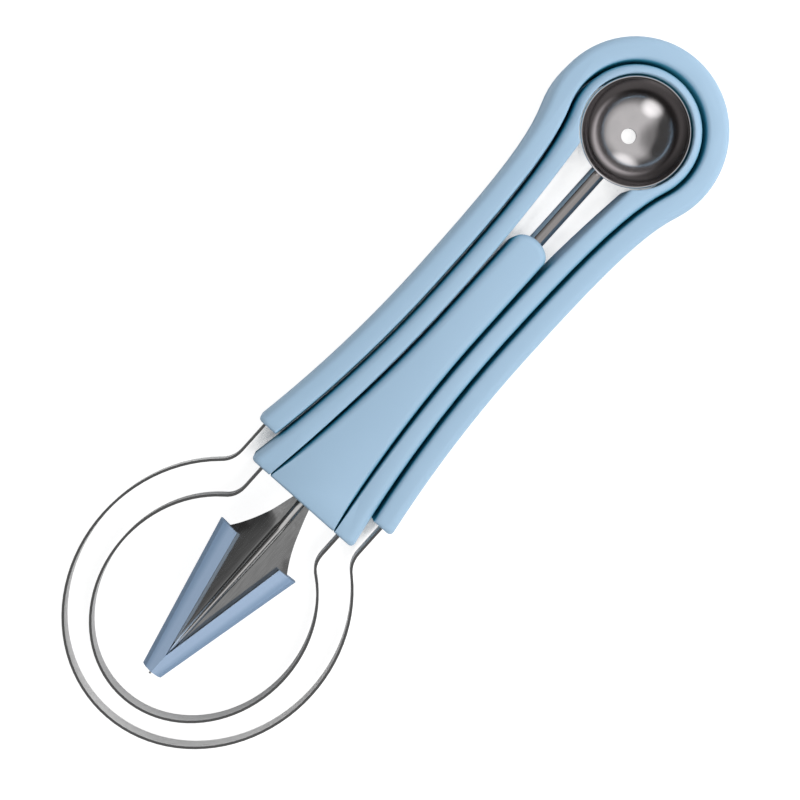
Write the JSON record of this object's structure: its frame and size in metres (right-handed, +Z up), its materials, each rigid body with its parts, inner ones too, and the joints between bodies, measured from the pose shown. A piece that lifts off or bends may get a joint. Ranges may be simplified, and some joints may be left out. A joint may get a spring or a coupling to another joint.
{
  "type": "nested fruit tool set",
  "caption": "Slim nested kitchen hand tool: keyhole frame handles with flat steel loops, holding a double-ended vented scoop and folded carving blade with a slide-on edge guard.",
  "frame": {"origin": "half way along the set, on the plane of the handles' flat backs that it lies on", "axes": "+Y along the set towards the scoop, loops towards -Y, +Z up out of the front faces, X across"},
  "size_m": [0.0742, 0.2332, 0.0155],
  "materials": {
    "handle_plastic": "satin moulded, light blue",
    "guard_plastic": "satin moulded, grey blue",
    "polished_steel": "mirror polished stainless steel",
    "brushed_steel": "finely brushed stainless steel"
  },
  "bodies": {
    "large_separator": {"large_loop_handle": "handle_plastic", "large_loop_band": "brushed_steel"},
    "small_separator": {"small_loop_handle": "handle_plastic", "small_loop_band": "brushed_steel"},
    "scoop_knife": {"scoop_knife_handle": "handle_plastic", "scoop_stem": "polished_steel", "scoop_bowl": "polished_steel", "carving_blade": "brushed_steel"},
    "edge_guard": {"blade_guard": "guard_plastic"}
  },
  "joints": [
    {"name": "small_separator_lift", "type": "slide", "parent": "large_separator", "child": "small_separator", "axis": [0, 0, 1], "range_m": [0, 0.03]},
    {"name": "scoop_knife_lift", "type": "slide", "parent": "small_separator", "child": "scoop_knife", "axis": [0, 0, 1], "range_m": [0, 0.03]},
    {"name": "guard_pull", "type": "slide", "parent": "scoop_knife", "child": "edge_guard", "axis": [0, -1, 0], "range_m": [0, 0.046]}
  ]
}
